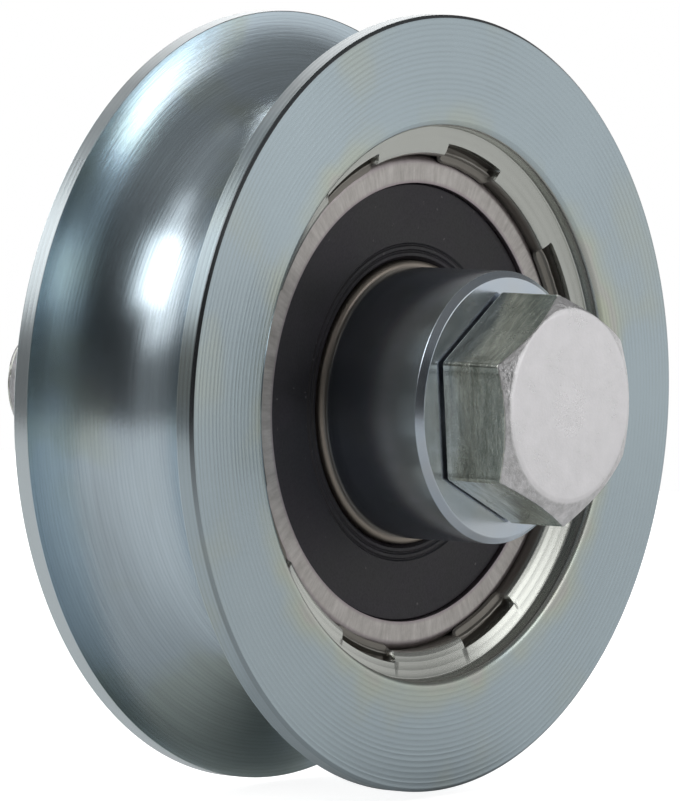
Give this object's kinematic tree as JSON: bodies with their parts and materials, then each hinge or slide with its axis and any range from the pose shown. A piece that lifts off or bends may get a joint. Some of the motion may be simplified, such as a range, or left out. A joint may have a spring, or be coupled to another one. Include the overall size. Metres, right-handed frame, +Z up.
{
  "type": "round groove wheel",
  "caption": "Steel wheel with a round groove that rolls on a round rail, carried on a sealed ball bearing with spacer bushes and a hexagon head axle bolt.",
  "frame": {"origin": "the wheel's centre, on the spin axis and midway between the two flanges", "axes": "+Y along the spin axis from the bolt's head to its nut, +Z up"},
  "size_m": [0.05, 0.0444, 0.05],
  "materials": {
    "zinc_plated_steel": "turned and zinc plated, satin",
    "bearing_steel": "ground",
    "ball_steel": "polished",
    "cage_steel": "stamped, satin",
    "seal_rubber": "satin",
    "fastener_steel": "forged and zinc plated, satin"
  },
  "bodies": {
    "axle": {"hex_bolt": "fastener_steel", "front_bush": "zinc_plated_steel", "rear_bush": "zinc_plated_steel", "bearing_inner_ring": "bearing_steel", "lock_washer": "fastener_steel", "hex_nut": "fastener_steel"},
    "wheel": {"wheel_rim": "zinc_plated_steel", "bearing_outer_ring": "bearing_steel", "front_seal": "seal_rubber", "rear_seal": "seal_rubber"},
    "cage": {"cage_front_half": "cage_steel", "cage_rear_half": "cage_steel", "cage_rivets": "cage_steel"},
    "ball_body_1": {"ball_1": "ball_steel"},
    "ball_body_2": {"ball_2": "ball_steel"},
    "ball_body_3": {"ball_3": "ball_steel"},
    "ball_body_4": {"ball_4": "ball_steel"},
    "ball_body_5": {"ball_5": "ball_steel"},
    "ball_body_6": {"ball_6": "ball_steel"},
    "ball_body_7": {"ball_7": "ball_steel"}
  },
  "joints": [
    {"name": "wheel_spin", "type": "hinge", "parent": "axle", "child": "wheel", "pos_m": [0, 0, 0], "axis": [0, 1, 0], "continuous": true},
    {"name": "cage_spin", "type": "hinge", "parent": "axle", "child": "cage", "pos_m": [0, 0, 0], "axis": [0, 1, 0], "continuous": true},
    {"name": "ball_1_spin", "type": "hinge", "parent": "cage", "child": "ball_body_1", "pos_m": [0, 0, 0.011], "axis": [0, 1, 0], "continuous": true},
    {"name": "ball_2_spin", "type": "hinge", "parent": "cage", "child": "ball_body_2", "pos_m": [-0.0086, 0, 0.00686], "axis": [0, 1, 0], "continuous": true},
    {"name": "ball_3_spin", "type": "hinge", "parent": "cage", "child": "ball_body_3", "pos_m": [-0.01072, 0, -0.00245], "axis": [0, 1, 0], "continuous": true},
    {"name": "ball_4_spin", "type": "hinge", "parent": "cage", "child": "ball_body_4", "pos_m": [-0.00477, 0, -0.00991], "axis": [0, 1, 0], "continuous": true},
    {"name": "ball_5_spin", "type": "hinge", "parent": "cage", "child": "ball_body_5", "pos_m": [0.00477, 0, -0.00991], "axis": [0, 1, 0], "continuous": true},
    {"name": "ball_6_spin", "type": "hinge", "parent": "cage", "child": "ball_body_6", "pos_m": [0.01072, 0, -0.00245], "axis": [0, 1, 0], "continuous": true},
    {"name": "ball_7_spin", "type": "hinge", "parent": "cage", "child": "ball_body_7", "pos_m": [0.0086, 0, 0.00686], "axis": [0, 1, 0], "continuous": true}
  ],
  "couplings": [
    {"joint": "cage_spin", "follows": "wheel_spin", "ratio": 0.6353},
    {"joint": "ball_1_spin", "follows": "wheel_spin", "ratio": 1.7125},
    {"joint": "ball_2_spin", "follows": "wheel_spin", "ratio": 1.7125},
    {"joint": "ball_3_spin", "follows": "wheel_spin", "ratio": 1.7125},
    {"joint": "ball_4_spin", "follows": "wheel_spin", "ratio": 1.7125},
    {"joint": "ball_5_spin", "follows": "wheel_spin", "ratio": 1.7125},
    {"joint": "ball_6_spin", "follows": "wheel_spin", "ratio": 1.7125},
    {"joint": "ball_7_spin", "follows": "wheel_spin", "ratio": 1.7125}
  ]
}
